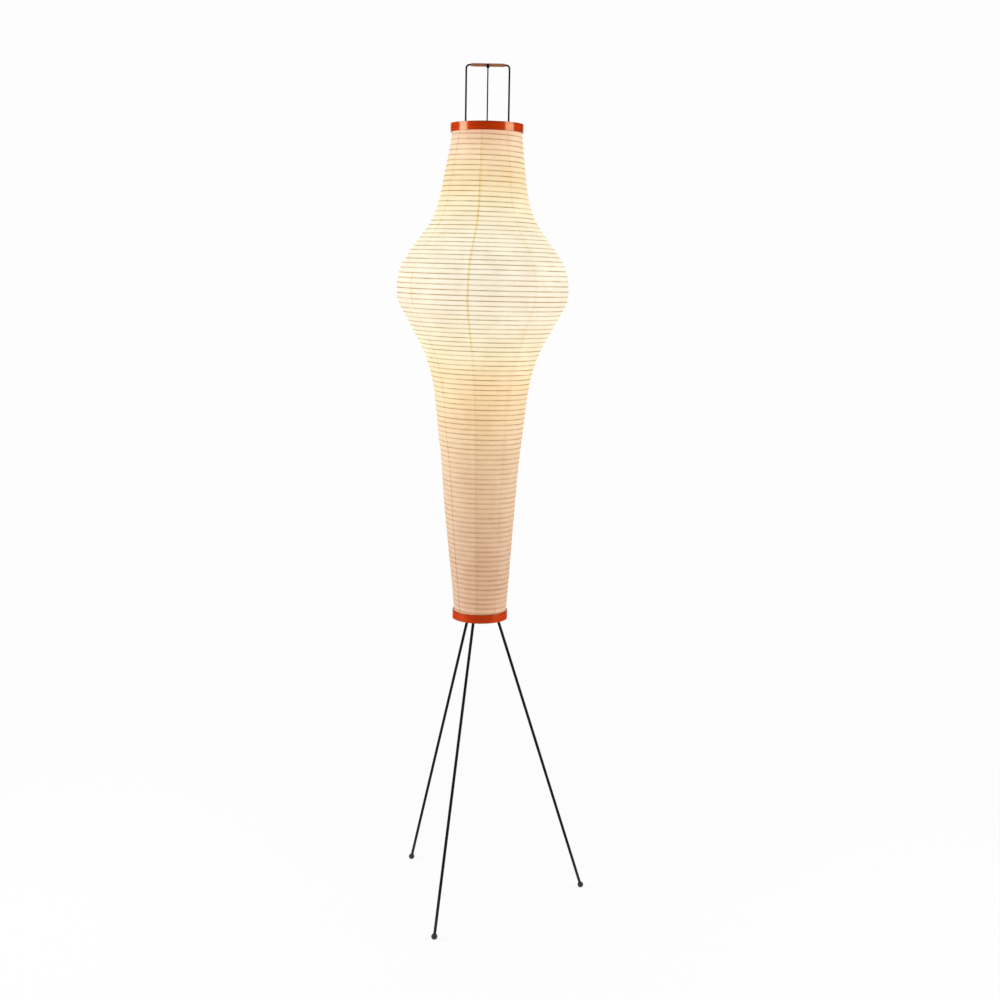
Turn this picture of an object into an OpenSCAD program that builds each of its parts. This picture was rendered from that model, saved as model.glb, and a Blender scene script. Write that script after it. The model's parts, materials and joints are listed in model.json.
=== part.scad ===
// Paper lantern floor lamp: a spiral-ribbed paper shade stretched on two crossed wire hoops,
// over a lamp stem that stands on three screwed-in leg rods.
// Millimetres, +Z up, front towards -Y. The origin is on the floor, under the lamp's middle line.

/* [Stand] */
// Radius of the circle that the middles of the foot balls stand on
foot_circle_r = 248; // [200:1:300]
// Radius of a foot ball
foot_ball_r = 6.75; // [6:0.25:9]
// Depth of the flat under a foot ball
foot_flat = 0.4; // [0.2:0.1:0.6]
// Depth of the blind hole in a foot ball, past the ball's middle
foot_hole = 2; // [0:0.5:3]
// Diameter of a leg rod
leg_d = 6.4; // [5:0.1:6.6]
// Angle of the right leg round the middle line, from +X towards +Y
leg_turn = 9.4; // [8.5:0.1:20]
// Radius at which a leg's middle line crosses the underside of the carrier plate
leg_top_r = 38.5; // [36:0.5:39]
// Height of the carrier plate's underside above the floor
stand_h = 656; // [500:1:750]
// Thickness of the carrier plate
plate_t = 2; // [1.5:0.1:3]
// Radius of the carrier plate's disc
plate_r = 50; // [49:0.5:53]
// Width of an arm of the carrier plate
lower_arm_w = 12; // [9:0.5:16]
// Radius of the leg hub
hub_r = 41; // [38:0.5:41.5]
// Thickness of the leg hub
hub_t = 10; // [8:0.5:14]
// Radius of a slanted leg socket on the hub
socket_r = 5.5; // [4.5:0.1:6]
// Length of a leg socket above the hub, along the leg
socket_rise = 8; // [5:0.5:12]
// Length of a leg rod that stands out past its lock nut
leg_end = 2.5; // [1:0.5:5]
// Width across the flats of a leg lock nut
leg_nut_w = 10; // [9:0.5:11]
// Thickness of a leg lock nut
leg_nut_t = 5; // [3:0.5:6]

/* [Bands] */
// Outer radius of the lower band
lower_band_r = 61.5; // [60:0.5:70]
// Height of the lower band
lower_band_h = 19; // [18:0.5:26]
// Outer radius of the upper band
upper_band_r = 77.8; // [68:0.1:84]
// Height of the upper band
upper_band_h = 18; // [17:0.5:26]
// Thickness of both bent wood bands
band_t = 3.5; // [2.5:0.1:4.5]
// Radius of the rounding on a band's edges
band_edge_r = 0.6; // [0.3:0.1:0.9]
// Height of the carrier plate's underside above the lower band's lower edge
band_lip = 1; // [0.5:0.5:3]

/* [Band fixings] */
// Height of the tabs that hold the bands
tab_h = 7; // [6:0.5:8]
// Thickness of a tab
tab_t = 1.5; // [1:0.1:2]
// Radius of a band screw's shank
screw_r = 1; // [0.8:0.1:1.3]
// Radius of a band screw's head
screw_head_r = 2.2; // [1.8:0.1:2.8]
// Thickness of a band screw's head
screw_head_t = 1.4; // [1:0.1:2]
// Depth that a band screw goes into the wood
screw_bite = 2; // [1:0.1:2.8]
// Width of the slots for a screwdriver
slot_w = 0.7; // [0.5:0.1:1]
// Depth of the slots for a screwdriver
slot_depth = 0.6; // [0.4:0.1:0.8]

/* [Shade] */
// Height of the paper between the two bands
shade_h = 1035; // [1020:1:1200]
// Height of the lower taper above the lower band
taper_h = 214; // [150:1:280]
// Radius of the lower taper
taper_r = 76.2; // [66:0.1:86]
// Height of the waist above the lower band, where the taper starts to open
waist_h = 380; // [330:1:430]
// Radius of the waist
waist_r = 90.5; // [80:0.1:100]
// Height of the flare under the belly, above the lower band
flare_h = 574; // [540:1:600]
// Radius of the flare
flare_r = 126.3; // [115:0.1:135]
// Height of the hip above the lower band
hip_h = 635; // [620:1:650]
// Radius of the hip
hip_r = 158; // [150:0.1:166]
// Height of the belly's lower side above the lower band
belly_low_h = 685; // [675:1:700]
// Radius of the belly's lower side
belly_low_r = 183; // [176:0.1:190]
// Height of the belly's upper side above the lower band
belly_high_h = 739; // [725:1:755]
// Radius of the belly's upper side
belly_high_r = 181.1; // [175:0.1:188]
// Height of the shoulder above the lower band
shoulder_h = 866; // [850:1:885]
// Radius of the shoulder
shoulder_r = 104.9; // [98:0.1:112]
// Height of the neck above the lower band
neck_h = 963; // [940:1:985]
// Radius of the neck
neck_r = 84.2; // [78:0.1:92]
// Thickness of the paper
paper_t = 0.4; // [0.3:0.05:0.6]
// Depth by which the paper draws in between two ribs
paper_sag = 0.6; // [0.3:0.1:1]
// Height of the paper hem that is glued inside each band
hem_h = 7; // [5:0.5:8]
// Number of turns of the bamboo rib
rib_turns = 100; // [80:1:100]
// Width of the rib along the paper
rib_w = 2; // [1.4:0.1:2.6]
// Thickness of the rib
rib_t = 1.2; // [0.8:0.1:1.6]

/* [Hoops and handle] */
// Distance from the middle line to the middle of each upright wire
hoop_r = 45.5; // [45:0.1:46.5]
// Wire diameter of the wide hoop, which carries the grips
wide_wire_d = 3.8; // [3:0.1:4.2]
// Wire diameter of the cross hoop
cross_wire_d = 2.8; // [2.2:0.1:3.4]
// Radius of the hoops' upper corners, at the middle of the wire
corner_r = 7; // [6:0.5:12]
// Height of the handle bar's middle above the upper band
handle_h = 121; // [90:1:160]
// Length of thread under the carrier plate at a hoop's ends
hoop_end = 5; // [4:0.5:8]
// Width across the flats of a hoop nut
hoop_nut_w = 7; // [6.4:0.1:7.2]
// Thickness of a hoop nut
hoop_nut_t = 2.8; // [2.2:0.1:3.4]
// Radius of a grip
grip_r = 3.6; // [3.2:0.1:5]
// Gap between the two grips
grip_gap = 6.6; // [6.5:0.1:10]
// Length of bare bar between a grip's outer end and the hoop's corner
grip_end = 3; // [1:0.5:8]
// Radius of the knob that clips the two hoops together where they cross
clip_r = 3.2; // [2.8:0.1:3.2]
// Least wall over and under the wires in the clip
clip_wall = 1.4; // [1:0.1:2]

/* [Top carrier] */
// Inner radius of the top carrier's ring
eye_ring_r = 39.5; // [36:0.5:40]
// Width of the top carrier's ring
eye_ring_w = 12; // [11:0.5:14]
// Thickness of the top carrier
eye_ring_t = 1.5; // [1.2:0.1:2]
// Width of an arm of the top carrier
upper_arm_w = 10; // [8:0.5:14]
// Height of the top carrier's underside above the upper band's lower edge
eye_ring_h = 8.5; // [8.5:0.1:9]
// Radius of a rubber bush's waist
bush_r = 3.8; // [3.4:0.1:4.2]
// Radius of a rubber bush's flanges
bush_flange_r = 5.2; // [4.8:0.1:5.6]
// Thickness of a rubber bush's flange
bush_flange_t = 1.4; // [1:0.1:2]

/* [Lamp] */
// Outer diameter of the lamp stem
stem_d = 10; // [9:0.5:12]
// Bore of the lamp stem
stem_bore_d = 8; // [7:0.1:8]
// Length of the stem under the carrier plate
stem_end = 10; // [8:0.5:14]
// Width across the flats of a stem nut
stem_nut_w = 14; // [14:0.5:17]
// Thickness of a stem nut
stem_nut_t = 4; // [3:0.5:5]
// Radius of a stem washer
washer_r = 10; // [8.5:0.5:12]
// Thickness of a stem washer
washer_t = 1; // [0.8:0.1:1.6]
// Bore of the cord inlet bush
inlet_bore_d = 6.2; // [5:0.1:6.4]
// Depth of the cord inlet bush in the stem
inlet_l = 12; // [8:1:20]
// Thickness of the cord inlet bush's flange
inlet_flange_t = 2; // [1.5:0.1:3]
// Height of the bulb's middle above the lower band
bulb_h = 713; // [600:1:760]
// Radius of the bulb
bulb_r = 30; // [26:0.5:32]
// Length of the bulb with its base
bulb_l = 105; // [98:1:115]
// Thickness of the bulb's glass
glass_t = 0.8; // [0.5:0.1:1.2]
// Radius of the bulb's screw base
base_r = 13.2; // [12.9:0.05:13.3]
// Height of the bulb's screw base
base_h = 22; // [20:0.5:24]
// Inner radius of the lampholder's screw shell
thread_r = 13.6; // [13.5:0.05:13.9]
// Outer radius of the lampholder
holder_r = 19; // [18.5:0.5:22]
// Wall of the lampholder's cap and shell
holder_wall = 1.8; // [1.4:0.1:2.4]
// Height of the lampholder's cap
cap_h = 20; // [18:0.5:24]

/* [Clearances] */
// Gap between pieces that are fixed to each other
fit = 0.05; // [0.03:0.01:0.1]
// Gap between a bush and the wire that it slides on
slide_gap = 0.08; // [0.03:0.01:0.1]
// Gap between the paper's hem and the band that it is glued into
glue_gap = 0.3; // [0.2:0.05:0.4]
// Gap between the rib and the paper at its deepest
rib_gap = 0.15; // [0.1:0.05:0.3]

/* [Hidden] */

round_fn = 96;
small_fn = 48;
over = 1;

legs = 3;
arms = 4;
arm_turn = 45;
foot_z = foot_ball_r - foot_flat;
leg_tilt = atan((foot_circle_r - leg_top_r) / (stand_h - foot_z));

plate_z = stand_h;
hub_z = plate_z + plate_t;
hub_top = hub_z + hub_t;
lower_band_z = plate_z - band_lip;
shade_z = lower_band_z + lower_band_h;
upper_band_z = shade_z + shade_h;
top_carrier_z = upper_band_z + eye_ring_h;
handle_z = upper_band_z + upper_band_h + handle_h;
lower_inner_r = lower_band_r - band_t;
upper_inner_r = upper_band_r - band_t;

// A leg's own length is counted upwards from the middle of its foot ball.
function along_leg(z) = (z - foot_z) / cos(leg_tilt);
socket_top = along_leg(hub_top) + socket_rise;
leg_nut_top = socket_top + leg_nut_t;
leg_top = leg_nut_top + leg_end;
leg_hole_gap = 0.6;

// Heights and radii of the shade, counted from the lower band's upper edge.
shape = [
  [0, lower_inner_r - glue_gap],
  [taper_h, taper_r],
  [waist_h, waist_r],
  [flare_h, flare_r],
  [hip_h, hip_r],
  [belly_low_h, belly_low_r],
  [belly_high_h, belly_high_r],
  [shoulder_h, shoulder_r],
  [neck_h, neck_r],
  [shade_h, upper_inner_r - glue_gap],
];
last = len(shape) - 1;

// A smooth curve through the shape's places: each stretch is a cubic with the slopes at its ends.
function rise(i) = shape[i + 1][0] - shape[i][0];
function slope(i) = (shape[i + 1][1] - shape[i][1]) / rise(i);
function tangent(i) =
  i == 0 ? slope(0)
  : i == last ? slope(last - 1)
  : (slope(i) * rise(i - 1) + slope(i - 1) * rise(i)) / (rise(i - 1) + rise(i));
function stretch(h) = max([for (i = [0:last - 1]) if (i == 0 || h >= shape[i][0]) i]);
function cubic(i, t) =
  (2 * t ^ 3 - 3 * t ^ 2 + 1) * shape[i][1]
  + (t ^ 3 - 2 * t ^ 2 + t) * rise(i) * tangent(i)
  + (3 * t ^ 2 - 2 * t ^ 3) * shape[i + 1][1]
  + (t ^ 3 - t ^ 2) * rise(i) * tangent(i + 1);
function shade_r(h) =
  let (i = stretch(h))
  cubic(i, (h - shape[i][0]) / rise(i));

// Length along the paper from the lower band, against height.
paper_steps = 600;
paper_step = shade_h / paper_steps;
function step_length(k) =
  norm([paper_step, shade_r((k + 1) * paper_step) - shade_r(k * paper_step)]);
paper_length = [for (k = 0, s = 0; k <= paper_steps; s = s + step_length(k), k = k + 1)
  [s, k * paper_step]];
rib_pitch = paper_length[paper_steps][0] / rib_turns;
function height_at(turn) = lookup(turn * rib_pitch, paper_length);

// The rib climbs clockwise, seen from above, at an even pitch along the paper.
rib_rings = 11;
rib_steps = rib_turns * rib_rings;
rib_sides = 4;
rib_inset = paper_sag + paper_t + rib_gap + rib_t / 2;
function meridian_slope(h) =
  let (d = paper_step)
  (shade_r(min(h + d, shade_h)) - shade_r(max(h - d, 0))) / (min(h + d, shade_h) - max(h - d, 0));
function rib_point(k, out, up) =
  let (h = height_at(k / rib_rings))
  let (tilt = atan(meridian_slope(h)))
  let (r = shade_r(h) + (out - rib_inset) * cos(tilt) + up * sin(tilt))
  let (turn = -360 * k / rib_rings)
  [r * cos(turn), r * sin(turn), shade_z + h - (out - rib_inset) * sin(tilt) + up * cos(tilt)];
rib_middle = [for (k = [0:rib_steps]) rib_point(k, 0, 0)];
least_rib_gap = min([for (k = [0:rib_steps - rib_rings])
  norm(rib_middle[k + rib_rings] - rib_middle[k])]) - norm([rib_w, rib_t]);
echo(least_gap_between_rib_turns_mm = least_rib_gap);

screw_lower_z = plate_z + plate_t + (tab_h - plate_t) / 2;
screw_upper_z = top_carrier_z + eye_ring_t + (tab_h - eye_ring_t) / 2;

wide_r = wide_wire_d / 2;
cross_r = cross_wire_d / 2;
cross_bar_z = handle_z - wide_r - cross_r - fit;
hoop_low = plate_z - hoop_end;
clip_top = handle_z + wide_r + clip_wall;
clip_low = cross_bar_z - cross_r - clip_wall;
clip_chamfer = 0.8;
grip_edge_r = 0.5;

// A nut's faces are chamfered at this angle, from this share of the width across its flats.
nut_chamfer = 30;
nut_face = 0.95;

stem_r = stem_d / 2;
stem_bore_r = stem_bore_d / 2;
stem_low = plate_z - stem_end;
bulb_z = shade_z + bulb_h;
base_z = bulb_z + bulb_r - bulb_l;
contact_t = 1.5;
insulator_t = 8;
insulator_z = base_z - contact_t - insulator_t;
cap_ledge = (cap_h + holder_wall) / 2;
cap_z = insulator_z - cap_ledge;
cap_top = cap_z + cap_h;
shell_top = base_z + base_h + 4;
thread_t = 0.6;
terminal_r = 2;
terminal_h = 4;

tip_h = 2;
base_wall = 0.4;
skirt_h = 5;
base_floor = base_z + skirt_h + base_wall;
mount_r = 8;
post_r = 2.5;
filament_r = 0.5;
filament_l = 22;
filament_z = bulb_z - 4;
support_r = 0.4;
support_low = filament_z - 14;
support_foot = 1.5;
support_reach = filament_l / 2 - 1 - support_foot;
support_rise = filament_z - filament_r - support_r - support_low;

// The glass leaves its neck upright and meets the round part at this angle below its middle.
bulb_join = 38;
neck_depth = 6;
neck_pull = 1.1;
neck_steps = 8;
round_steps = 20;

// A rectangle whose corners are true arcs.
module rounded_box_2d(w, h, r) {
  translate([r, 0]) square([w - 2 * r, h]);
  translate([0, r]) square([w, h - 2 * r]);
  for (x = [r, w - r], y = [r, h - r]) translate([x, y]) circle(r = r, $fn = 24);
}

module ring(outer, inner, h) {
  difference() {
    cylinder(r = outer, h = h, $fn = round_fn);
    translate([0, 0, -over]) cylinder(r = inner, h = h + 2 * over, $fn = round_fn);
  }
}

// A hexagon nut with a flat towards +X and its corners chamfered at both faces.
module hex_nut(across, h, bore) {
  corner = across / 2 / cos(30) + fit;
  face = nut_face * across / 2;
  drop = (corner - face) * tan(nut_chamfer);
  difference() {
    intersection() {
      rotate([0, 0, 30]) cylinder(d = across / cos(30), h = h, $fn = 6);
      rotate_extrude($fn = small_fn)
        polygon([[0, 0], [face, 0], [corner, drop], [corner, h - drop], [face, h], [0, h]]);
    }
    translate([0, 0, -over]) cylinder(r = bore, h = h + 2 * over, $fn = small_fn);
  }
}

// The cut for a screwdriver, down from the face of a head that lies at z = 0.
module slot_cut(head_r) {
  translate([-head_r - over, -slot_w / 2, -slot_depth])
    cube([2 * (head_r + over), slot_w, slot_depth + over]);
}

// Puts its children at the middle of foot ball i, with +Z along the leg.
module on_leg(i) {
  rotate([0, 0, leg_turn + 360 / legs * i])
    translate([foot_circle_r, 0, foot_z])
      rotate([0, -leg_tilt, 0]) children();
}

// Puts its children at each upright wire: first the wide hoop's, then the cross hoop's.
module on_uprights(first, count) {
  for (i = [0:count - 1]) rotate([0, 0, 180 * i + 90 * first]) translate([hoop_r, 0, 0]) children();
}

module on_arms() {
  for (i = [0:arms - 1]) rotate([0, 0, arm_turn + 360 / arms * i]) children();
}

module bent_band(outer, h) {
  rotate_extrude($fn = round_fn)
    translate([outer - band_t, 0]) rounded_box_2d(band_t, h, band_edge_r);
}

// A screw through a tab into a band whose inner radius is given, head inside.
// The tab's face is hollow, so the head's flat underside meets it at the head's two sides.
module band_screw(inner_r) {
  tab_inner = inner_r - fit - tab_t;
  head_seat = sqrt(tab_inner ^ 2 - screw_head_r ^ 2) - fit;
  rotate([0, 90, 0]) {
    difference() {
      translate([0, 0, head_seat - screw_head_t])
        cylinder(r = screw_head_r, h = screw_head_t, $fn = small_fn);
      translate([0, 0, head_seat - screw_head_t]) mirror([0, 0, 1]) slot_cut(screw_head_r);
    }
    translate([0, 0, head_seat])
      cylinder(r = screw_r, h = inner_r + screw_bite - head_seat, $fn = small_fn);
  }
}

module screw_hole(inner_r) {
  rotate([0, 90, 0]) translate([0, 0, inner_r - tab_t - over])
    cylinder(r = screw_r + fit, h = tab_t + over + screw_bite + fit, $fn = small_fn);
}

// Flat arms out to a band, each with a tab that stands up along the band's inner face.
module arms_with_tabs(inner_r, from_r, arm_w, t) {
  reach = inner_r - fit;
  on_arms() intersection() {
    union() {
      ring(reach, from_r, t);
      ring(reach, reach - tab_t, tab_h);
    }
    translate([0, -arm_w / 2, 0]) cube([inner_r, arm_w, tab_h]);
  }
}

module tripod_hub() {
  color("#1c1a19") difference() {
    union() {
      translate([0, 0, hub_z]) cylinder(r = hub_r, h = hub_t, $fn = round_fn);
      intersection() {
        for (i = [0:legs - 1]) on_leg(i) translate([0, 0, along_leg(hub_z) - 2 * socket_r])
          cylinder(r = socket_r, h = socket_top - along_leg(hub_z) + 2 * socket_r, $fn = small_fn);
        translate([0, 0, hub_z])
          cylinder(r = hub_r + 2 * socket_r, h = hub_t + 2 * socket_rise + leg_nut_t, $fn = round_fn);
      }
    }
    for (i = [0:legs - 1]) on_leg(i) translate([0, 0, along_leg(plate_z) - leg_d])
      cylinder(r = leg_d / 2 + fit, h = socket_top - along_leg(plate_z) + leg_d + over, $fn = small_fn);
    translate([0, 0, hub_z - over])
      cylinder(r = stem_r + fit, h = hub_t + 2 * over, $fn = small_fn);
  }
}

module leg(i) {
  color("#141211") on_leg(i) translate([0, 0, -foot_hole])
    cylinder(r = leg_d / 2, h = leg_top + foot_hole, $fn = small_fn);
}

module leg_right() { leg(0); }
module leg_left() { leg(1); }
module leg_front() { leg(2); }

module leg_lock_nuts() {
  color("#8f8d89") for (i = [0:legs - 1])
    on_leg(i) translate([0, 0, socket_top]) hex_nut(leg_nut_w, leg_nut_t, leg_d / 2 + fit);
}

module foot(i) {
  color("#0f0e0d") difference() {
    on_leg(i) sphere(r = foot_ball_r, $fn = small_fn);
    on_leg(i) translate([0, 0, -foot_hole])
      cylinder(r = leg_d / 2 + fit, h = 2 * foot_ball_r, $fn = small_fn);
    rotate([0, 0, leg_turn + 360 / legs * i]) translate([foot_circle_r, 0, -foot_ball_r])
      cylinder(r = foot_ball_r, h = foot_ball_r, $fn = small_fn);
  }
}

module foot_right() { foot(0); }
module foot_left() { foot(1); }
module foot_front() { foot(2); }

module carrier_plate() {
  color("#1c1a19") difference() {
    translate([0, 0, plate_z]) {
      cylinder(r = plate_r, h = plate_t, $fn = round_fn);
      arms_with_tabs(lower_inner_r, plate_r - over, lower_arm_w, plate_t);
    }
    for (i = [0:legs - 1]) on_leg(i) translate([0, 0, along_leg(plate_z) - leg_d])
      cylinder(r = leg_d / 2 + leg_hole_gap, h = 3 * leg_d, $fn = small_fn);
    translate([0, 0, plate_z - over]) {
      cylinder(r = stem_r + fit, h = plate_t + 2 * over, $fn = small_fn);
      on_uprights(0, 2) cylinder(r = wide_r + fit, h = plate_t + 2 * over, $fn = small_fn);
      on_uprights(1, 2) cylinder(r = cross_r + fit, h = plate_t + 2 * over, $fn = small_fn);
    }
    translate([0, 0, screw_lower_z]) on_arms() screw_hole(lower_inner_r);
  }
}

module lower_band() {
  color("#d0501c") difference() {
    translate([0, 0, lower_band_z]) bent_band(lower_band_r, lower_band_h);
    translate([0, 0, screw_lower_z]) on_arms() screw_hole(lower_inner_r);
  }
}

module lower_band_screws() {
  color("#b9a16a") translate([0, 0, screw_lower_z]) on_arms() band_screw(lower_inner_r);
}

// One wire bent into an upside-down U, with its bar at the given height.
module hoop(wire_r, bar_z) {
  for (side = [-1, 1]) {
    translate([side * hoop_r, 0, hoop_low])
      cylinder(r = wire_r, h = bar_z - corner_r - hoop_low, $fn = small_fn);
    translate([side * (hoop_r - corner_r), 0, bar_z - corner_r])
      rotate([90, 0, side > 0 ? 0 : 180]) rotate_extrude(angle = 90, $fn = small_fn)
        translate([corner_r, 0]) circle(r = wire_r, $fn = small_fn);
  }
  translate([corner_r - hoop_r, 0, bar_z]) rotate([0, 90, 0])
    cylinder(r = wire_r, h = 2 * (hoop_r - corner_r), $fn = small_fn);
}

module wide_hoop() { color("#141211") hoop(wide_r, handle_z); }
module cross_hoop() { color("#141211") rotate([0, 0, 90]) hoop(cross_r, cross_bar_z); }

module hoop_nuts() {
  color("#8f8d89") for (z = [plate_z - hoop_nut_t, plate_z + plate_t]) translate([0, 0, z]) {
    on_uprights(0, 2) hex_nut(hoop_nut_w, hoop_nut_t, wide_r + fit);
    on_uprights(1, 2) hex_nut(hoop_nut_w, hoop_nut_t, cross_r + fit);
  }
}

// A small turned knob that both bars pass through, one over the other.
module crossing_clip() {
  color("#1c1a19") difference() {
    rotate_extrude($fn = small_fn) polygon([
      [0, clip_low],
      [clip_r - clip_chamfer, clip_low],
      [clip_r, clip_low + clip_chamfer],
      [clip_r, clip_top - clip_chamfer],
      [clip_r - clip_chamfer, clip_top],
      [0, clip_top],
    ]);
    translate([-2 * clip_r, 0, handle_z]) rotate([0, 90, 0])
      cylinder(r = wide_r + fit, h = 4 * clip_r, $fn = small_fn);
    translate([0, 2 * clip_r, cross_bar_z]) rotate([90, 0, 0])
      cylinder(r = cross_r + fit, h = 4 * clip_r, $fn = small_fn);
  }
}

module grip(side) {
  grip_l = hoop_r - corner_r - grip_end - grip_gap / 2;
  color("#8f5232") translate([side > 0 ? grip_gap / 2 : -grip_gap / 2 - grip_l, 0, handle_z])
    rotate([0, 90, 0]) rotate_extrude($fn = small_fn)
      translate([wide_r + fit, 0]) rounded_box_2d(grip_r - wide_r - fit, grip_l, grip_edge_r);
}

module grip_left() { grip(-1); }
module grip_right() { grip(1); }

module lamp_stem() {
  color("#a8a6a1") translate([0, 0, stem_low])
    ring(stem_r, stem_bore_r, cap_z + holder_wall + stem_nut_t + over - stem_low);
}

module stem_nuts() {
  color("#8f8d89") for (z = [plate_z - washer_t - stem_nut_t, hub_top + washer_t, cap_z - stem_nut_t])
    translate([0, 0, z]) hex_nut(stem_nut_w, stem_nut_t, stem_r + fit);
}

module stem_washers() {
  color("#a8a6a1") for (z = [plate_z - washer_t, hub_top])
    translate([0, 0, z]) ring(washer_r, stem_r + fit, washer_t);
}

module cord_inlet_bush() {
  color("#0f0e0d") difference() {
    translate([0, 0, stem_low - inlet_flange_t]) {
      cylinder(r = stem_r, h = inlet_flange_t, $fn = small_fn);
      cylinder(r = stem_bore_r - fit, h = inlet_flange_t + inlet_l, $fn = small_fn);
    }
    translate([0, 0, stem_low - inlet_flange_t - over])
      cylinder(d = inlet_bore_d, h = inlet_flange_t + inlet_l + 2 * over, $fn = small_fn);
  }
}

module holder_cap() {
  neck = stem_r + 4;
  color("#191716") rotate_extrude($fn = round_fn) polygon([
    [stem_r + fit, cap_z],
    [neck, cap_z],
    [holder_r, cap_z + cap_h / 2],
    [holder_r, cap_top],
    [holder_r - holder_wall, cap_top],
    [holder_r - holder_wall, cap_z + cap_ledge],
    [neck, cap_z + holder_wall],
    [stem_r + fit, cap_z + holder_wall],
  ]);
}

module holder_shell() {
  color("#191716") rotate_extrude($fn = round_fn) polygon([
    [holder_r - holder_wall, cap_top],
    [holder_r, cap_top],
    [holder_r, shell_top - holder_wall],
    [holder_r - holder_wall, shell_top],
    [thread_r + thread_t + fit, shell_top],
    [thread_r + thread_t + fit, shell_top - holder_wall],
    [holder_r - holder_wall, shell_top - holder_wall],
  ]);
}

module holder_insulator() {
  color("#ece6da") translate([0, 0, insulator_z])
    cylinder(r = holder_r - holder_wall - fit, h = insulator_t, $fn = round_fn);
}

module terminal_screws() {
  color("#c2a14d") for (side = [-1, 1])
    translate([side * holder_r / 2, 0, insulator_z - terminal_h]) difference() {
      cylinder(r = terminal_r, h = terminal_h, $fn = small_fn);
      mirror([0, 0, 1]) slot_cut(terminal_r);
    }
}

module holder_thread() {
  color("#c2a14d") translate([0, 0, insulator_z + insulator_t])
    ring(thread_r + thread_t, thread_r, shell_top - holder_wall - insulator_z - insulator_t);
}

module holder_contact() {
  color("#c2a14d") translate([0, 0, insulator_z + insulator_t])
    cylinder(r = base_r / 3, h = contact_t, $fn = small_fn);
}

module bulb_contact() {
  color("#9a978f") translate([0, 0, base_z]) cylinder(r = base_r / 4, h = tip_h, $fn = small_fn);
}

module bulb_base() {
  color("#b8b5ae") rotate_extrude($fn = round_fn) polygon([
    [0, base_z + tip_h],
    [base_r / 3, base_z + tip_h],
    [base_r, base_z + skirt_h],
    [base_r, base_z + base_h],
    [base_r - base_wall, base_z + base_h],
    [base_r - base_wall, base_floor],
    [0, base_floor],
  ]);
}

function glass_outline(inset) =
  let (neck = base_r - base_wall - fit - inset)
  let (r = bulb_r - inset)
  let (low = base_z + base_h - neck_depth)
  let (join = [r * cos(bulb_join), bulb_z - r * sin(bulb_join)])
  let (top = base_z + base_h + over)
  let (pull = (join[1] - top) * neck_pull)
  concat(
    [[neck, low]],
    [for (k = [0:neck_steps - 1]) let (t = k / neck_steps)
      (2 * t ^ 3 - 3 * t ^ 2 + 1) * [neck, top] + (t ^ 3 - 2 * t ^ 2 + t) * pull * [0, 1]
      + (3 * t ^ 2 - 2 * t ^ 3) * join + (t ^ 3 - t ^ 2) * pull * [sin(bulb_join), cos(bulb_join)]],
    [for (k = [0:round_steps]) let (a = -bulb_join + (90 + bulb_join) * k / round_steps)
      [k == round_steps ? 0 : r * cos(a), bulb_z + r * sin(a)]]
  );

module bulb_glass() {
  inner = glass_outline(glass_t);
  color("#fbf6e8") rotate_extrude($fn = round_fn)
    polygon(concat(glass_outline(0), [for (k = [len(inner) - 1:-1:0]) inner[k]]));
}

module bulb_mount() {
  color("#dfe6e6") {
    translate([0, 0, base_floor]) {
      cylinder(r = mount_r, h = base_h / 2, $fn = small_fn);
      cylinder(r = post_r, h = support_low + post_r - base_floor, $fn = small_fn);
    }
    for (side = [-1, 1])
      translate([side * support_foot, 0, support_low])
        rotate([0, side * atan(support_reach / support_rise), 0])
          cylinder(r = support_r, h = norm([support_reach, support_rise]), $fn = small_fn);
  }
}

module bulb_filament() {
  color("#f2e3c0") translate([-filament_l / 2, 0, filament_z]) rotate([0, 90, 0])
    cylinder(r = filament_r, h = filament_l, $fn = small_fn);
}

// The outline has a ridge over every rib turn, and draws in between two turns.
module paper_shade() {
  outline = concat(
    [[shade_r(0), shade_z - hem_h]],
    [for (k = [0:2 * rib_turns]) let (h = height_at(k / 2))
      [shade_r(h) - (k % 2) * paper_sag, shade_z + h]],
    [[shade_r(shade_h), upper_band_z + hem_h]]
  );
  inside = [for (k = [len(outline) - 1:-1:0]) outline[k] - [paper_t, 0]];
  color("#f6ead0") rotate_extrude($fn = round_fn) polygon(concat(outline, inside));
}

module bamboo_rib() {
  corners = [[1, 1], [-1, 1], [-1, -1], [1, -1]];
  points = [for (k = [0:rib_steps], c = corners) rib_point(k, c[0] * rib_t / 2, c[1] * rib_w / 2)];
  sides = [for (k = [0:rib_steps - 1], c = [0:rib_sides - 1])
    let (a = k * rib_sides + c)
    let (b = k * rib_sides + (c + 1) % rib_sides)
    each [[a, b, b + rib_sides], [a, b + rib_sides, a + rib_sides]]];
  end = rib_steps * rib_sides;
  color("#b98f55") polyhedron(points = points,
    faces = concat(sides, [[2, 1, 0], [3, 2, 0], [end, end + 1, end + 2], [end, end + 2, end + 3]]));
}

module upper_band() {
  color("#d0501c") difference() {
    translate([0, 0, upper_band_z]) bent_band(upper_band_r, upper_band_h);
    translate([0, 0, screw_upper_z]) on_arms() screw_hole(upper_inner_r);
  }
}

module top_carrier() {
  color("#1c1a19") difference() {
    translate([0, 0, top_carrier_z]) {
      ring(eye_ring_r + eye_ring_w, eye_ring_r, eye_ring_t);
      arms_with_tabs(upper_inner_r, eye_ring_r + eye_ring_w - over, upper_arm_w, eye_ring_t);
    }
    translate([0, 0, top_carrier_z - over]) {
      on_uprights(0, 2) cylinder(r = bush_r + fit, h = eye_ring_t + 2 * over, $fn = small_fn);
      on_uprights(1, 2) cylinder(r = bush_r + fit, h = eye_ring_t + 2 * over, $fn = small_fn);
    }
    translate([0, 0, screw_upper_z]) on_arms() screw_hole(upper_inner_r);
  }
}

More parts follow.
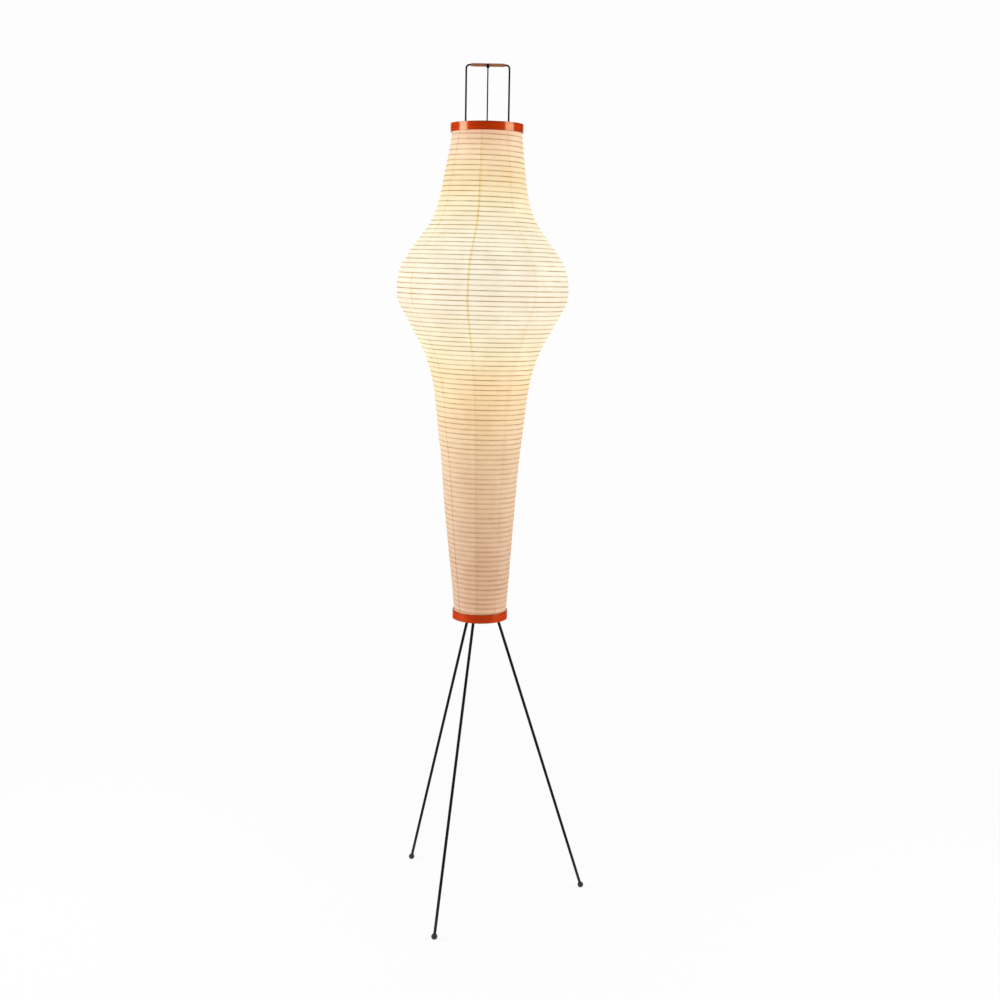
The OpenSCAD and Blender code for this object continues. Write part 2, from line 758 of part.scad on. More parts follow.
module bush(wire_r) {
  difference() {
    union() {
      cylinder(r = bush_r, h = eye_ring_t + bush_flange_t, $fn = small_fn);
      translate([0, 0, -bush_flange_t]) cylinder(r = bush_flange_r, h = bush_flange_t, $fn = small_fn);
      translate([0, 0, eye_ring_t]) cylinder(r = bush_flange_r, h = bush_flange_t, $fn = small_fn);
    }
    translate([0, 0, -bush_flange_t - over])
      cylinder(r = wire_r + slide_gap, h = eye_ring_t + 2 * bush_flange_t + 2 * over, $fn = small_fn);
  }
}

module upright_bushes() {
  color("#0f0e0d") translate([0, 0, top_carrier_z]) {
    on_uprights(0, 2) bush(wide_r);
    on_uprights(1, 2) bush(cross_r);
  }
}

module upper_band_screws() {
  color("#b9a16a") translate([0, 0, screw_upper_z]) on_arms() band_screw(upper_inner_r);
}

tripod_hub();
leg_right();
leg_left();
leg_front();
leg_lock_nuts();
foot_right();
foot_left();
foot_front();
carrier_plate();
lower_band();
lower_band_screws();
wide_hoop();
cross_hoop();
hoop_nuts();
crossing_clip();
grip_left();
grip_right();
lamp_stem();
stem_nuts();
stem_washers();
cord_inlet_bush();
holder_cap();
holder_shell();
holder_insulator();
terminal_screws();
holder_thread();
holder_contact();
bulb_base();
bulb_contact();
bulb_glass();
bulb_mount();
bulb_filament();
paper_shade();
bamboo_rib();
upper_band();
top_carrier();
upright_bushes();
upper_band_screws();
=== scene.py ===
"""Paper lantern floor lamp: the looks of every piece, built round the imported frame.

Metres, +Z up, front towards -Y, with the origin on the floor under the lamp's middle line.
"""
import json
import logging
import math
from collections.abc import Iterable
from dataclasses import dataclass
from enum import Enum

import bmesh
import bpy
from mathutils import Matrix, Vector, noise


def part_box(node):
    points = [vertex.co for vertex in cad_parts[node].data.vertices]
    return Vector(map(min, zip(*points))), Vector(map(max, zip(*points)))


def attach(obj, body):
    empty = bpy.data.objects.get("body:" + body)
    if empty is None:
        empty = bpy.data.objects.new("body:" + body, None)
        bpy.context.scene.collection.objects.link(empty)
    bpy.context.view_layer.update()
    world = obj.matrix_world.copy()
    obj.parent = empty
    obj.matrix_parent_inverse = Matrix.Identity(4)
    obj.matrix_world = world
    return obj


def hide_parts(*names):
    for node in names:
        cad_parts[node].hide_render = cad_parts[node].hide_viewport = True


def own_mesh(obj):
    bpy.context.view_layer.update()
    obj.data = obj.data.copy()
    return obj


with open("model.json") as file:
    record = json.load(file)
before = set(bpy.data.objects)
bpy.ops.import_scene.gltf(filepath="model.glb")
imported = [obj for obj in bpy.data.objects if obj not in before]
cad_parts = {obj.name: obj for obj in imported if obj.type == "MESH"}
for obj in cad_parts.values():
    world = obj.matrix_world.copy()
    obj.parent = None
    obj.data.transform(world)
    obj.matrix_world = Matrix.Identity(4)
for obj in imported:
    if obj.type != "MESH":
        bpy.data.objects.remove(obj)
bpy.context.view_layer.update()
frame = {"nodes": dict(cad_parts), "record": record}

LOG = logging.getLogger("lantern")
MM = 0.001
TURN = 2 * math.pi

Color = tuple[float, float, float]
Span = tuple[float, float]
Bounds = tuple[float, float, float, float]
Socket = bpy.types.NodeSocket
Tree = bpy.types.NodeTree
Outputs = bpy.types.NodeOutputs
Object = bpy.types.Object
Mesh = bmesh.types.BMesh
frozen = dataclass(frozen=True)


class Body(Enum):
    """The bodies that a piece can ride on."""

    STAND = "stand"
    TOP = "lantern_top"


class Slot(Enum):
    """The record's material slots."""

    IRON = "black_iron"
    ZINC = "zinc_steel"
    RUBBER = "black_rubber"
    LACQUER = "orange_lacquer"
    BRASS = "brass"
    GRIP = "brown_grip"
    BAKELITE = "black_plastic"
    PORCELAIN = "porcelain"
    BULB_METAL = "bulb_metal"
    OPAL = "opal_glass"
    GLASS = "clear_glass"
    TUNGSTEN = "tungsten"
    WASHI = "washi_paper"
    BAMBOO = "bamboo"


def srgb(red: int, green: int, blue: int) -> Color:
    """Turns a colour from 0 to 255 a channel, as a paint card gives it, into linear light."""
    channels = (value / 255 for value in (red, green, blue))
    return tuple(c / 12.92 if c <= 0.04045 else ((c + 0.055) / 1.055) ** 2.4 for c in channels)


# Shader graphs

@frozen
class Cloud:
    """A noise pattern, its scale per metre, whose values from low to high become start to end."""

    scale: float
    detail: float
    low: float
    high: float
    start: float = 0.0
    end: float = 1.0


@frozen
class Grain:
    """Wood or bamboo grain: its fibres' width, the share of the deeper colour and the relief."""

    width: float
    share: float
    depth: float


@frozen
class Veil:
    """A tint that a thing in the paper gives, and its share at most."""

    share: float
    tint: Color | Socket


class Graph:
    """Adds nodes to one material or node group, and links them."""

    def __init__(self, tree: Tree, groups: dict[str, Tree] | None = None) -> None:
        """Keeps the tree that the nodes go into, and the shared effects by name."""
        self.tree = tree
        self.groups = groups or {}

    def put(self, socket: Socket, value: object) -> None:
        """Links an input to an output, or sets it; a colour is given without its alpha."""
        if isinstance(value, Socket):
            self.tree.links.new(value, socket)
        else:
            socket.default_value = (*value, 1.0) if socket.type == "RGBA" else value

    def add(self, kind: str, inputs: dict | None = None, **settings: object) -> bpy.types.Node:
        """Adds one node.

        Args:
            kind: The node's type, without its leading ShaderNode.
            inputs: A value or an output socket for each input, by name or index.
            settings: The node's own properties.

        Returns:
            The new node.
        """
        node = self.tree.nodes.new("ShaderNode" + kind)
        for name, value in settings.items():
            setattr(node, name, value)
        for name, value in (inputs or {}).items():
            self.put(node.inputs[name], value)
        return node

    def effect(self, name: str, **inputs: object) -> Outputs:
        """Adds a shared effect, and returns its outputs."""
        return self.add("Group", inputs, node_tree=self.groups[name]).outputs

    def grain(self, place: Socket, grain: Grain, color: Color, deep: Color
              ) -> tuple[Socket, Socket, Socket]:
        """Returns the grained colour, the grain's mask and its normal."""
        made = self.effect("grain", Place=place, Width=grain.width)
        tone = self.mix(self.times(made["Mask"], grain.share), color, deep)
        return tone, made["Mask"], self.bump(made["Height"], grain.depth)

    def set(self, **sockets: object) -> None:
        """Sets or links the Principled shader; an underscore stands for a space in a name."""
        shader = next(n for n in self.tree.nodes if n.type == "BSDF_PRINCIPLED")
        for name, value in sockets.items():
            self.put(shader.inputs[name.replace("_", " ")], value)

    def math(self, operation: str, first: object, second: object = 0.0) -> Socket:
        """Returns the result of a Math node."""
        return self.add("Math", {0: first, 1: second}, operation=operation).outputs[0]

    def times(self, first: object, second: object) -> Socket:
        """Returns the product of two numbers."""
        return self.math("MULTIPLY", first, second)

    def gap(self, first: object, second: object) -> Socket:
        """Returns how far apart two numbers are."""
        return self.math("ABSOLUTE", self.math("SUBTRACT", first, second))

    def remap(self, value: object, low: float, high: float, start: float = 0.0, end: float = 1.0,
              smooth: bool = True) -> Socket:
        """Maps low..high to start..end, held at both ends.

        Args:
            value: The socket to map.
            low: The value that gives start.
            high: The value that gives end.
            start: The result at low.
            end: The result at high.
            smooth: True for an S-shaped way between them.

        Returns:
            The result socket.
        """
        kind = "SMOOTHSTEP" if smooth else "LINEAR"
        limits = {"Value": value, "From Min": low, "From Max": high, "To Min": start, "To Max": end}
        return self.add("MapRange", limits, interpolation_type=kind).outputs["Result"]

    def between(self, value: object, bounds: Bounds) -> Socket:
        """Returns a mask that rises between the first two bounds and falls between the last two."""
        return self.times(self.remap(value, *bounds[:2]), self.remap(value, *bounds[2:], 1.0, 0.0))

    def mix(self, factor: object, first: object, second: object, blend: str = "MIX") -> Socket:
        """Mixes two colours by a factor, and returns the colour."""
        inputs = {0: factor, 6: first, 7: second}
        return self.add("Mix", inputs, data_type="RGBA", blend_type=blend).outputs[2]

    def noise(self, vector: object, scale: float, detail: float = 2.0) -> Socket:
        """Returns a noise value, about 0.5 on average."""
        inputs = {"Vector": vector, "Scale": scale, "Detail": detail}
        return self.add("TexNoise", inputs).outputs["Fac"]

    def cloud(self, place: object, cloud: Cloud) -> Socket:
        """Returns a noise pattern's mask."""
        value = self.noise(place, cloud.scale, cloud.detail)
        return self.remap(value, cloud.low, cloud.high, cloud.start, cloud.end)

    def stretched(self, vector: object, scale: Color, turn: Color = (0.0, 0.0, 0.0)) -> Socket:
        """Returns a vector turned and scaled along each axis, for patterns with a direction."""
        inputs = {"Vector": vector, "Rotation": turn, "Scale": scale}
        return self.add("Mapping", inputs).outputs["Vector"]

    def ramp(self, factor: object, stops: tuple[tuple[float, Color], ...]) -> Socket:
        """Returns the colour of a ramp with smooth steps at the given places."""
        node = self.add("ValToRGB", {"Fac": factor})
        ramp = node.color_ramp
        ramp.interpolation = "CARDINAL"
        while len(ramp.elements) < len(stops):
            ramp.elements.new(0.5)
        for element, (place, color) in zip(ramp.elements, stops):
            element.position = place
            element.color = (*color, 1.0)
        return node.outputs["Color"]

    def place(self) -> Socket:
        """Returns the Object coordinate."""
        return self.add("TexCoord").outputs["Object"]

    def axis(self, place: object, name: str = "Z") -> Socket:
        """Returns one coordinate of a place."""
        return self.add("SeparateXYZ", {0: place}).outputs[name]

    def attribute(self, name: str) -> Socket:
        """Returns a number that the mesh holds at its vertices."""
        return self.add("Attribute", attribute_name=name).outputs["Fac"]

    def bump(self, height: object, distance: float, strength: float = 1.0) -> Socket:
        """Returns a normal raised by a height, with its depth in metres."""
        inputs = {"Height": height, "Distance": distance, "Strength": strength}
        return self.add("Bump", inputs).outputs["Normal"]


class Effects:
    """The effects that several finishes share, each built once as a node group."""

    mottle_detail = 4.0
    mottle_cut = (0.3, 0.7)
    grain_draw = (0.04, 1.0, 1.0)
    grain_detail = 5.0
    grain_cut = (0.14, 0.36)
    broad_grain = 0.22
    scratch_draw = (0.05, 0.05, 1.0)
    scratch_detail = 3.0
    scratch_cut = (0.35, 0.65)
    specks = Cloud(900.0, 3.0, 0.42, 0.72)
    dust_color = srgb(150, 142, 130)

    def __init__(self) -> None:
        """Builds all the groups."""
        self.groups: dict[str, Tree] = {}
        self._mottle()
        self._grain()
        self._scratches()
        self._dust()

    @staticmethod
    def _sockets(tree: Tree, way: str, names: Iterable[str]) -> None:
        """Adds a group's sockets: Place is a vector, Color a colour and the others numbers."""
        for name in names:
            kind = "NodeSocket" + {"Place": "Vector", "Color": "Color"}.get(name, "Float")
            tree.interface.new_socket(name, in_out=way, socket_type=kind)

    def _start(self, name: str, *inputs: str) -> tuple[Graph, Outputs]:
        """Starts a group, and returns its graph and what it is given, by name."""
        tree = self.groups[name] = bpy.data.node_groups.new(name, "ShaderNodeTree")
        self._sockets(tree, "INPUT", inputs)
        return Graph(tree), tree.nodes.new("NodeGroupInput").outputs

    def _end(self, graph: Graph, **results: Socket) -> None:
        """Gives the group an output for each result."""
        self._sockets(graph.tree, "OUTPUT", results)
        made = graph.tree.nodes.new("NodeGroupOutput")
        for name, result in results.items():
            graph.put(made.inputs[name], result)

    def _mottle(self) -> None:
        """Cloudy variation of a colour, with a mask that roughness can follow."""
        graph, given = self._start("mottle", "Place", "Color", "Size", "Amount")
        scale = graph.math("DIVIDE", 1.0, given["Size"])
        mask = graph.remap(graph.noise(given["Place"], scale, self.mottle_detail), *self.mottle_cut)
        darker = graph.math("SUBTRACT", 1.0, given["Amount"])
        shade = graph.remap(mask, 0.0, 1.0, darker, 1.0, smooth=False)
        self._end(graph, Color=graph.mix(1.0, given["Color"], shade, "MULTIPLY"), Mask=mask)

    def _grain(self) -> None:
        """Wood or bamboo grain along the first axis of the given place."""
        graph, given = self._start("grain", "Place", "Width")
        scale = graph.math("DIVIDE", 1.0, given["Width"])
        drawn = graph.stretched(given["Place"], self.grain_draw)
        fine = graph.noise(drawn, scale, self.grain_detail)
        broad = graph.noise(drawn, graph.times(scale, self.broad_grain))
        self._end(graph, Mask=graph.remap(graph.times(fine, broad), *self.grain_cut), Height=fine)

    def _scratches(self) -> None:
        """Fine machining lines round the vertical axis, for turned and plated metal."""
        graph, given = self._start("scratches", "Place", "Width")
        scale = graph.math("DIVIDE", 1.0, given["Width"])
        drawn = graph.stretched(given["Place"], self.scratch_draw)
        lines = graph.noise(drawn, scale, self.scratch_detail)
        self._end(graph, Mask=graph.remap(lines, *self.scratch_cut), Height=lines)

    def _dust(self) -> None:
        """Pale dust, thick near the floor, thin above the given height."""
        graph, given = self._start("dust", "Place", "Color", "Reach", "Amount")
        height = graph.axis(given["Place"])
        falling = graph.remap(height, 0.0, given["Reach"], 1.0, 0.0, smooth=False)
        mask = graph.times(falling, graph.cloud(given["Place"], self.specks))
        mask = graph.times(mask, given["Amount"])
        self._end(graph, Color=graph.mix(mask, given["Color"], self.dust_color), Mask=mask)


# Finishes

class Finish:
    """A surface finish: one material with a Principled shader, for one slot."""

    slot: Slot

    def build(self, groups: dict[str, Tree]) -> bpy.types.Material:
        """Builds the material, with the shared effects at hand by name."""
        material = bpy.data.materials.new(self.slot.value)
        material.use_nodes = True
        self.dress(Graph(material.node_tree, groups))
        return material

    def dress(self, graph: Graph) -> None:
        """Sets the shader's sockets. Each finish has its own."""
        raise NotImplementedError


@frozen
class BlackPaint(Finish):
    """Near-matt black stove paint with an orange-peel skin, on iron wire and plate."""

    slot = Slot.IRON
    color: Color = srgb(15, 12, 12)
    cloud_size: float = 20 * MM
    cloud_share: float = 0.3
    dust_reach: float = 120 * MM
    dust_share: float = 0.35
    roughness: Span = (0.5, 0.64)
    shine: float = 0.12
    skin_scale: float = 700.0
    skin_depth: float = 0.04 * MM

    def dress(self, graph: Graph) -> None:
        """Faint clouds, then dust that thins out above the floor, over a fine skin."""
        place = graph.place()
        clouds = graph.effect("mottle", Place=place, Color=self.color, Size=self.cloud_size,
                              Amount=self.cloud_share)
        dust = graph.effect("dust", Place=place, Color=clouds["Color"], Reach=self.dust_reach,
                            Amount=self.dust_share)
        graph.set(Base_Color=dust["Color"], Specular_IOR_Level=self.shine,
                  Roughness=graph.remap(clouds["Mask"], 0.0, 1.0, *self.roughness),
                  Normal=graph.bump(graph.noise(place, self.skin_scale), self.skin_depth))


@frozen
class BlackRubber(BlackPaint):
    """Matt black rubber of the feet and the bushes, with its moulded grain and bloom."""

    slot = Slot.RUBBER
    color: Color = srgb(24, 22, 21)
    cloud_size: float = 4 * MM
    cloud_share: float = 0.35
    dust_reach: float = 9 * MM
    dust_share: float = 0.6
    roughness: Span = (0.5, 0.72)
    shine: float = 0.5
    skin_scale: float = 2400.0
    skin_depth: float = 0.05 * MM


@frozen
class ZincPlate(Finish):
    """Bright zinc plating on nuts, washers and the threaded stem."""

    slot = Slot.ZINC
    color: Color = srgb(188, 187, 183)
    line_width: float = 0.6 * MM
    line_depth: float = 0.03 * MM
    cloud_size: float = 6 * MM
    cloud_share: float = 0.22
    roughness: Span = (0.24, 0.42)

    def dress(self, graph: Graph) -> None:
        """Machined metal with fine lines and cloudy roughness."""
        place = graph.place()
        lines = graph.effect("scratches", Place=place, Width=self.line_width)
        clouds = graph.effect("mottle", Place=place, Color=self.color,
                              Size=self.cloud_size, Amount=self.cloud_share)
        graph.set(Base_Color=clouds["Color"], Metallic=1.0,
                  Roughness=graph.remap(lines["Mask"], 0.0, 1.0, *self.roughness),
                  Normal=self.relief(graph, lines))

    def relief(self, graph: Graph, lines: Outputs) -> Socket:
        """Gives the normal over the machining lines."""
        return graph.bump(lines["Height"], self.line_depth)


@frozen
class BulbMetal(ZincPlate):
    """Thin pressed aluminium of the bulb's base, with its rolled thread."""

    slot = Slot.BULB_METAL
    color: Color = srgb(196, 193, 186)
    line_width: float = 0.4 * MM
    cloud_size: float = 5 * MM
    cloud_share: float = 0.2
    roughness: Span = (0.22, 0.4)
    thread_pitch: float = 3.6 * MM
    thread_depth: float = 0.4 * MM
    thread_strength: float = 0.8

    def relief(self, graph: Graph, lines: Outputs) -> Socket:
        """Gives the normal over the soft rings of the thread."""
        height = graph.axis(graph.place())
        rings = graph.math("SINE", graph.times(height, TURN / self.thread_pitch))
        return graph.bump(rings, self.thread_depth, self.thread_strength)


@frozen
class Brass(Finish):
    """Plain brass, slightly tarnished."""

    slot = Slot.BRASS
    color: Color = srgb(204, 172, 100)
    tarnish: Color = srgb(122, 92, 46)
    clouds: Cloud = Cloud(260.0, 4.0, 0.45, 0.75, 0.0, 0.6)
    line_width: float = 0.5 * MM
    line_depth: float = 0.02 * MM
    roughness: Span = (0.24, 0.5)

    def dress(self, graph: Graph) -> None:
        """Machining lines under brown tarnish clouds."""
        place = graph.place()
        lines = graph.effect("scratches", Place=place, Width=self.line_width)
        clouds = graph.cloud(place, self.clouds)
        graph.set(Base_Color=graph.mix(clouds, self.color, self.tarnish), Metallic=1.0,
                  Roughness=graph.remap(clouds, 0.0, self.clouds.end, *self.roughness),
                  Normal=graph.bump(lines["Height"], self.line_depth))


@frozen
class Bakelite(Finish):
    """Black pressed resin of the lampholder and the inlet bush."""

    slot = Slot.BAKELITE
    color: Color = srgb(30, 26, 24)
    flow: Color = srgb(48, 36, 29)
    clouds: Cloud = Cloud(120.0, 4.0, 0.4, 0.7, 0.0, 0.5)
    roughness: Span = (0.26, 0.4)
    skin_scale: float = 1500.0
    skin_depth: float = 0.02 * MM

    def dress(self, graph: Graph) -> None:
        """Satin resin with faint brown flow clouds."""
        place = graph.place()
        clouds = graph.cloud(place, self.clouds)
        graph.set(Base_Color=graph.mix(clouds, self.color, self.flow),
                  Roughness=graph.remap(clouds, 0.0, self.clouds.end, *self.roughness),
                  Normal=graph.bump(graph.noise(place, self.skin_scale, 1.0), self.skin_depth))


@frozen
class Porcelain(Finish):
    """Glazed white ceramic of the lampholder's insulator."""

    slot = Slot.PORCELAIN
    color: Color = srgb(238, 233, 222)
    iron: Color = srgb(150, 120, 90)
    specks: Cloud = Cloud(1100.0, 1.0, 0.68, 0.76, 0.0, 0.45)
    roughness: Span = (0.14, 0.35)

    def dress(self, graph: Graph) -> None:
        """Glaze with specks of iron in the clay."""
        specks = graph.cloud(graph.place(), self.specks)
        graph.set(Base_Color=graph.mix(specks, self.color, self.iron),
                  Roughness=graph.remap(specks, 0.0, self.specks.end, *self.roughness),
                  Coat_Weight=0.6, Coat_Roughness=0.05)


@frozen
class OpalGlass(Finish):
    """The lit bulb's white-coated glass, hottest round the filament."""

    slot = Slot.OPAL
    color: Color = srgb(112, 106, 97)
    warm: Color = srgb(240, 190, 130)
    hot: Color = srgb(255, 246, 226)
    filament_height: float = 1.383
    hot_reach: float = 50 * MM
    drift: float = 12 * MM
    drift_scale: float = 180.0
    strength: float = 0.9

    def dress(self, graph: Graph) -> None:
        """Warm light that falls off away from the filament, under a thin glaze."""
        place = graph.place()
        away = graph.gap(graph.axis(place), self.filament_height)
        drift = graph.times(graph.noise(place, self.drift_scale, 3.0), self.drift)
        heat = graph.remap(graph.math("ADD", away, drift), 0.0, self.hot_reach, 1.0, 0.0)
        graph.set(Base_Color=self.color, Roughness=0.25,
                  Emission_Color=graph.mix(heat, self.warm, self.hot),
                  Emission_Strength=self.strength, Coat_Weight=0.4, Coat_Roughness=0.08)


@frozen
class ClearGlass(Finish):
    """The bulb's inner glass mount."""

    slot = Slot.GLASS
    color: Color = srgb(228, 236, 236)
    wave_scale: float = 320.0
    wave_depth: float = 0.2 * MM

    def dress(self, graph: Graph) -> None:
        """Drawn glass with slight waves."""
        waves = graph.noise(graph.place(), self.wave_scale)
        graph.set(Base_Color=self.color, Transmission_Weight=1.0, Roughness=0.04,
                  IOR=1.5, Normal=graph.bump(waves, self.wave_depth))


@frozen
class Tungsten(Finish):
    """The glowing filament."""

    slot = Slot.TUNGSTEN
    color: Color = srgb(120, 116, 110)
    dim: Color = srgb(255, 196, 120)
    bright: Color = srgb(255, 240, 210)
    coil_pitch: float = 0.5 * MM
    strength: float = 8.0

    def dress(self, graph: Graph) -> None:
        """Coil bands of brighter and darker light."""
        along = graph.axis(graph.place(), "X")
        coil = graph.remap(graph.math("SINE", graph.times(along, TURN / self.coil_pitch)), -1, 1)
        graph.set(Base_Color=self.color, Metallic=1.0, Roughness=0.4,
                  Emission_Color=graph.mix(coil, self.dim, self.bright),
                  Emission_Strength=self.strength)


@frozen
class OrangeLacquer(Finish):
    """Orange-red lacquer, polished over bent wood."""

    slot = Slot.LACQUER
    color: Color = srgb(212, 66, 9)
    deep: Color = srgb(160, 26, 4)
    # The dark lap joint's colour, also used as painted shade along the bands' edges.
    edge: Color = srgb(96, 18, 5)
    gloss: Color = (1.0, 0.86, 0.47)
    ior: float = 1.6
    roughness: Span = (0.12, 0.18)
    grain: Grain = Grain(2.2 * MM, 0.55, 0.01 * MM)
    lap_turn: float = math.radians(90.0)
    lap_edge: Span = (0.35 * MM, 0.77 * MM)
    lap_slant: float = 1.2
    lap_period: float = 0.9
    lap_share: float = 0.8
    back: Span = (0.0, 10 * MM)
    edge_shade_reach: Span = (0.44 * MM, 1.1 * MM)
    edge_shade_share: float = 0.85

    def dress(self, graph: Graph) -> None:
        """Grain round the band, painted shade along its edges, a slanted lap at the back and a deep
        gloss.
        """
        place = graph.place()
        x, y, z = (graph.axis(place, name) for name in "XYZ")
        turn = graph.math("ARCTAN2", y, x)
        radius = graph.math("SQRT", graph.math("ADD", graph.times(x, x), graph.times(y, y)))
        unrolled = graph.add("CombineXYZ", {0: graph.times(turn, radius), 1: z, 2: radius})
        tone, mask, normal = graph.grain(unrolled.outputs[0], self.grain, self.color, self.deep)
        arc = graph.times(graph.math("SUBTRACT", turn, self.lap_turn), radius)
        slanted = graph.math("SUBTRACT", arc, graph.times(z, self.lap_slant))
        wrapped = graph.math("PINGPONG", slanted, self.lap_period)
        lap = graph.remap(wrapped, *self.lap_edge, 1.0, 0.0)
        lap = graph.times(lap, graph.remap(y, *self.back))
        tone = graph.mix(graph.times(lap, self.lap_share), tone, self.edge)
        # Painted shade along the bands' top and bottom edges.
        tone = graph.mix(graph.times(self._edge_shade_mask(graph, z), self.edge_shade_share), tone, self.edge)
        graph.set(Base_Color=tone, IOR=self.ior, Specular_Tint=self.gloss,
                  Roughness=graph.remap(mask, 0.0, 1.0, *self.roughness), Normal=normal)

    def _edge_shade_mask(self, graph: Graph, height: Socket) -> Socket:
        """Gives a mask of the bands' edges, where painted shade darkens the lacquer."""
        nearest = 1.0
        for band in ("lower_band", "upper_band"):
            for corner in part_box(band):
                nearest = graph.math("MINIMUM", nearest, graph.gap(height, corner[2]))
        return graph.remap(nearest, *self.edge_shade_reach, 1.0, 0.0)


@frozen
class GripWood(Finish):
    """Red-brown lacquered wood of the handle's grips."""

    slot = Slot.GRIP
    color: Color = srgb(164, 92, 54)
    deep: Color = srgb(104, 48, 26)
    worn_and_paler_top: Color = srgb(206, 150, 110)
    grain: Grain = Grain(1.6 * MM, 0.55, 0.08 * MM)
    wear: Cloud = Cloud(90.0, 2.0, 0.4, 0.7, 0.1, 0.4)
    top_paling: float = 0.45
    full_worn_and_pale: float = 0.8
    roughness: Span = (0.34, 0.5)

    def dress(self, graph: Graph) -> None:
        """Grain along the grip, paler in patches of wear and paler towards the top."""
        place = graph.place()
        tone, _, normal = graph.grain(place, self.grain, self.color, self.deep)
        low, high = (corner[2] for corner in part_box("grip_left"))
        # Paler towards the top of the grip.
        top = graph.remap(graph.axis(place), 0.5 * (low + high), high, 0.0, self.top_paling)
        worn_and_paler_top = graph.math("ADD", graph.cloud(place, self.wear), top)
        graph.set(Base_Color=graph.mix(worn_and_paler_top, tone, self.worn_and_paler_top),
                  Roughness=graph.remap(worn_and_paler_top, 0.0, self.full_worn_and_pale, *self.roughness),
                  Normal=normal, Coat_Weight=0.5, Coat_Roughness=0.15)


@frozen
class SplitBamboo(Finish):
    """Split bamboo of the rib, lit from inside the shade."""

    slot = Slot.BAMBOO
    color: Color = srgb(196, 164, 108)
    deep: Color = srgb(142, 106, 60)
    knot: Color = srgb(92, 62, 34)
    grain: Grain = Grain(0.7 * MM, 0.5, 0.05 * MM)
    knot_share: float = 0.6
    roughness: Span = (0.42, 0.6)

    def dress(self, graph: Graph) -> None:
        """Fibres along the strip, and darker nodes."""
        height = graph.axis(graph.place())
        along = graph.add("CombineXYZ", {0: graph.attribute("rib_turn"), 1: height})
        tone, _, normal = graph.grain(along.outputs[0], self.grain, self.color, self.deep)
        knot = graph.attribute("knot")
        tone = graph.mix(graph.times(knot, self.knot_share), tone, self.knot)
        graph.set(Base_Color=tone, Roughness=graph.remap(knot, 0.0, 1.0, *self.roughness),
                  Normal=normal)


